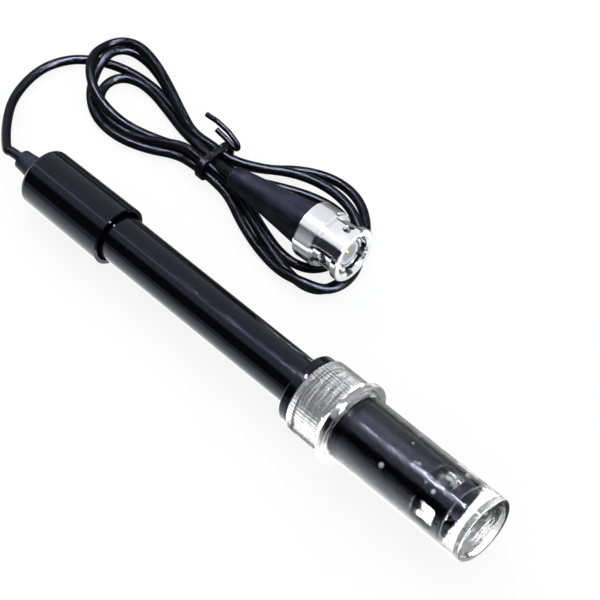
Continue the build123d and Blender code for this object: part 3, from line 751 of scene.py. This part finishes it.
def make_cable():
    """One cord along the whole route, in place of the plain lead, hank and tail."""
    curve = bpy.data.curves.new("cable", "CURVE")
    curve.dimensions = "3D"
    curve.resolution_u = 10
    curve.bevel_depth = cable_radius
    curve.bevel_resolution = 6
    curve.use_fill_caps = True
    route = cable_route()
    spline = curve.splines.new("NURBS")
    spline.points.add(len(route) - 1)
    for point, place in zip(spline.points, route):
        point.co = (*(Vector(place) * mm), 1)
    spline.order_u = 3
    spline.use_endpoint_u = True
    spline.use_smooth = True
    curve.materials.append(finishes["cable_jacket"])
    piece = new_piece("cable", curve)
    solids = ("cable_lead", "cable_hank", "cable_tail")
    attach(piece, "electrode")
    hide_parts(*solids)


# The CAD pieces that are shown as they are get their finishes, and the others are made

for node in nodes.values():
    for material_slot in node.material_slots:
        material_slot.material = finishes[material_slot.material.name.split(".")[0]]

make_bottle()
make_drops()
make_liquid()
make_screw_cap()
make_cable()


# Floor, light and camera

white = (1.0, 1.0, 1.0, 1.0)
floor_half = 3.0
floor_colour = (0.16, 0.16, 0.16, 1)
floor_glow = 0.86
diffuse_light = 0.75

# What gloss mirrors of the floor: two places in metres, then the strength at each
near_side_glow = (-0.075, -0.008, 0.35, 2.1)
far_side_fade = (0.0, 0.012, 1.0, 0.0)
plug_patch_along = (-0.005, 0.008, 0, 1)
plug_patch_across = (0.022, 0.034, 0, 1)
least_glow = 0.12

# What gloss mirrors of the sky: colours from the near side over the top to the far side
sky_bands = [
    (0.0, (1.0, 1.0, 1.0)),
    (0.03, (0.02, 0.02, 0.025)),
    (0.24, (0.02, 0.02, 0.025)),
    (0.29, (0.95, 0.96, 1.0)),
    (0.93, (0.95, 0.96, 1.0)),
    (0.96, (0.03, 0.03, 0.04)),
    (1.0, (0.03, 0.03, 0.04)),
]

# A thin line of light and a haze beside it, by a direction's slope along the electrode: two slopes,
# then the value at each. The edges give two distances from the line, then the share at each. The
# line's edge counts in its half width, and the haze's in radians.
line_turn = (-0.56, -0.32, math.radians(-14), math.radians(1))
line_half_width = (-0.50, -0.40, math.radians(1.6), math.radians(2.6))
line_strength = (-0.46, -0.37, 4.0, 650.0)
line_edge = (0.6, 1.0, 1, 0)
haze_strength = (-0.50, -0.40, 0.0, 5.0)
haze_edge = (math.radians(4), math.radians(16), 1, 0)


def make_floor():
    """A wide pale floor that shows white and keeps the object's shadow."""
    corners = [(-1, -1), (1, -1), (1, 1), (-1, 1)]
    mesh = bpy.data.meshes.new("floor")
    mesh.from_pydata([(x * floor_half, y * floor_half, 0) for x, y in corners], [], [(0, 1, 2, 3)])
    floor = new_piece("floor", mesh)
    material = bpy.data.materials.new("white_floor")
    material.use_nodes = True
    tree = Tree(material.node_tree)
    material.node_tree.nodes.clear()
    surface = tree.add("ShaderNodeBsdfDiffuse", {"Color": floor_colour}).outputs[0]
    place = tree.add("ShaderNodeSeparateXYZ", {0: tree.object_place()}).outputs
    near_side = tree.range(place["Y"], *near_side_glow)
    far_side = tree.range(place["Y"], *far_side_fade)
    by_plug = tree.math(
        "MULTIPLY", tree.range(place["X"], *plug_patch_along), tree.range(place["Y"], *plug_patch_across)
    )
    mirrored = tree.math("MAXIMUM", tree.math("MULTIPLY", near_side, far_side), least_glow)
    mirrored = tree.math("MAXIMUM", mirrored, by_plug)
    glossy = tree.add("ShaderNodeLightPath").outputs["Is Glossy Ray"]
    strength = tree.add("ShaderNodeMix", {0: glossy, 2: floor_glow, 3: mirrored}).outputs[0]
    light = tree.add("ShaderNodeEmission", {"Color": white, "Strength": strength}).outputs[0]
    both = tree.add("ShaderNodeAddShader", {0: surface, 1: light}).outputs[0]
    tree.add("ShaderNodeOutputMaterial", {"Surface": both})
    mesh.materials.append(material)


def sky_colour(tree, turn):
    """The colour of the sky's bands, by a direction's turn from straight up to the far side."""
    share = tree.range(turn, -math.pi / 2, math.pi / 2, 0, 1)
    ramp = tree.add("ShaderNodeValToRGB", {"Fac": share})
    elements = ramp.color_ramp.elements
    while len(elements) < len(sky_bands):
        elements.new(0.5)
    for element, (place, colour) in zip(elements, sky_bands):
        element.position = place
        element.color = (*colour, 1)
    return ramp.outputs["Color"]


def sky_strength(tree, lengthwise, turn):
    """The strength of the sky's bands, with the line of light and the haze on its near side."""
    round_axis = tree.math("SQRT", tree.math("SUBTRACT", 1.0, tree.math("POWER", lengthwise, 2.0)))
    slope = tree.math("DIVIDE", lengthwise, round_axis)
    middle = tree.range(slope, *line_turn)
    off_line = tree.math("ABSOLUTE", tree.math("SUBTRACT", turn, middle))
    width_share = tree.math("DIVIDE", off_line, tree.range(slope, *line_half_width))
    line = tree.math("MULTIPLY", tree.range(width_share, *line_edge), tree.range(slope, *line_strength))
    in_haze = tree.range(tree.math("SUBTRACT", middle, turn), *haze_edge)
    near_side = tree.math("GREATER_THAN", middle, turn)
    haze = tree.math("MULTIPLY", in_haze, near_side)
    haze = tree.math("MULTIPLY", haze, tree.range(slope, *haze_strength))
    return tree.math("ADD", 1.0, tree.math("ADD", line, haze))


def make_world():
    """White to the camera and through clear things, plain for diffuse light, and bands for gloss."""
    world = bpy.data.worlds.new("studio")
    bpy.context.scene.world = world
    world.use_nodes = True
    tree = Tree(world.node_tree)
    world.node_tree.nodes.clear()
    direction = tree.add("ShaderNodeTexCoord").outputs["Generated"]
    parts = tree.add("ShaderNodeSeparateXYZ", {0: direction}).outputs
    turn = tree.math("ARCTAN2", parts["Y"], parts["Z"])
    sky = {"Color": sky_colour(tree, turn), "Strength": sky_strength(tree, parts["X"], turn)}
    path = tree.add("ShaderNodeLightPath").outputs
    straight = tree.math("MAXIMUM", path["Is Camera Ray"], path["Is Transmission Ray"])
    mirrored = tree.math("GREATER_THAN", path["Glossy Depth"], 0.5)
    clear = tree.math("MULTIPLY", straight, tree.math("SUBTRACT", 1.0, mirrored))
    plain = tree.add("ShaderNodeBackground", {"Color": white, "Strength": diffuse_light}).outputs[0]
    gloss = tree.add("ShaderNodeBackground", sky).outputs[0]
    backdrop = tree.add("ShaderNodeBackground", {"Color": white, "Strength": 1.0}).outputs[0]
    shiny = tree.math("MAXIMUM", path["Is Glossy Ray"], tree.math("MULTIPLY", straight, mirrored))
    lit = tree.add("ShaderNodeMixShader", {0: shiny, 1: plain, 2: gloss}).outputs[0]
    shown = tree.add("ShaderNodeMixShader", {0: clear, 1: lit, 2: backdrop}).outputs[0]
    tree.add("ShaderNodeOutputWorld", {"Surface": shown})


def aim(piece, place, target):
    """Puts a lamp in place and turns it to a target, its long side level."""
    back = (Vector(place) - Vector(target)).normalized()
    level = Vector((1, 0, 0)) - back * back.x
    level.normalize()
    upward = back.cross(level)
    turn = Matrix((level, upward, back)).transposed().to_4x4()
    piece.matrix_world = Matrix.Translation(place) @ turn


def make_lamp(name, place, target, width, depth, power):
    """A soft lamp for diffuse light alone, because gloss mirrors the sky's bands instead."""
    light = bpy.data.lights.new(name, "AREA")
    light.shape = "RECTANGLE"
    light.size = width
    light.size_y = depth
    light.energy = power
    lamp = new_piece(name, light)
    lamp.visible_glossy = False
    aim(lamp, place, target)


def make_camera():
    """The photograph's view: from above, over the bottle's end."""
    azimuth = math.radians(45.1)
    elevation = math.radians(54.0)
    distance = 0.584
    target = Vector((-2.3, 21.3, 0.0)) * mm
    level = math.cos(elevation)
    back = Vector((math.sin(azimuth) * level, -math.cos(azimuth) * level, math.sin(elevation)))
    right = Vector((math.cos(azimuth), math.sin(azimuth), 0))
    data = bpy.data.cameras.new("photograph")
    data.lens = 150.2
    data.sensor_width = 36.0
    data.clip_start = 0.01
    camera = new_piece("photograph", data)
    turn = Matrix((right, back.cross(right), back)).transposed().to_4x4()
    camera.matrix_world = Matrix.Translation(target + back * distance) @ turn
    bpy.context.scene.camera = camera


make_floor()
make_world()
make_lamp("softbox", place=(-0.55, 0.35, 0.75), target=(0.0, 0.02, 0.0), width=0.9, depth=0.7, power=3.0)
make_camera()
bpy.context.scene.view_settings.view_transform = "Standard"
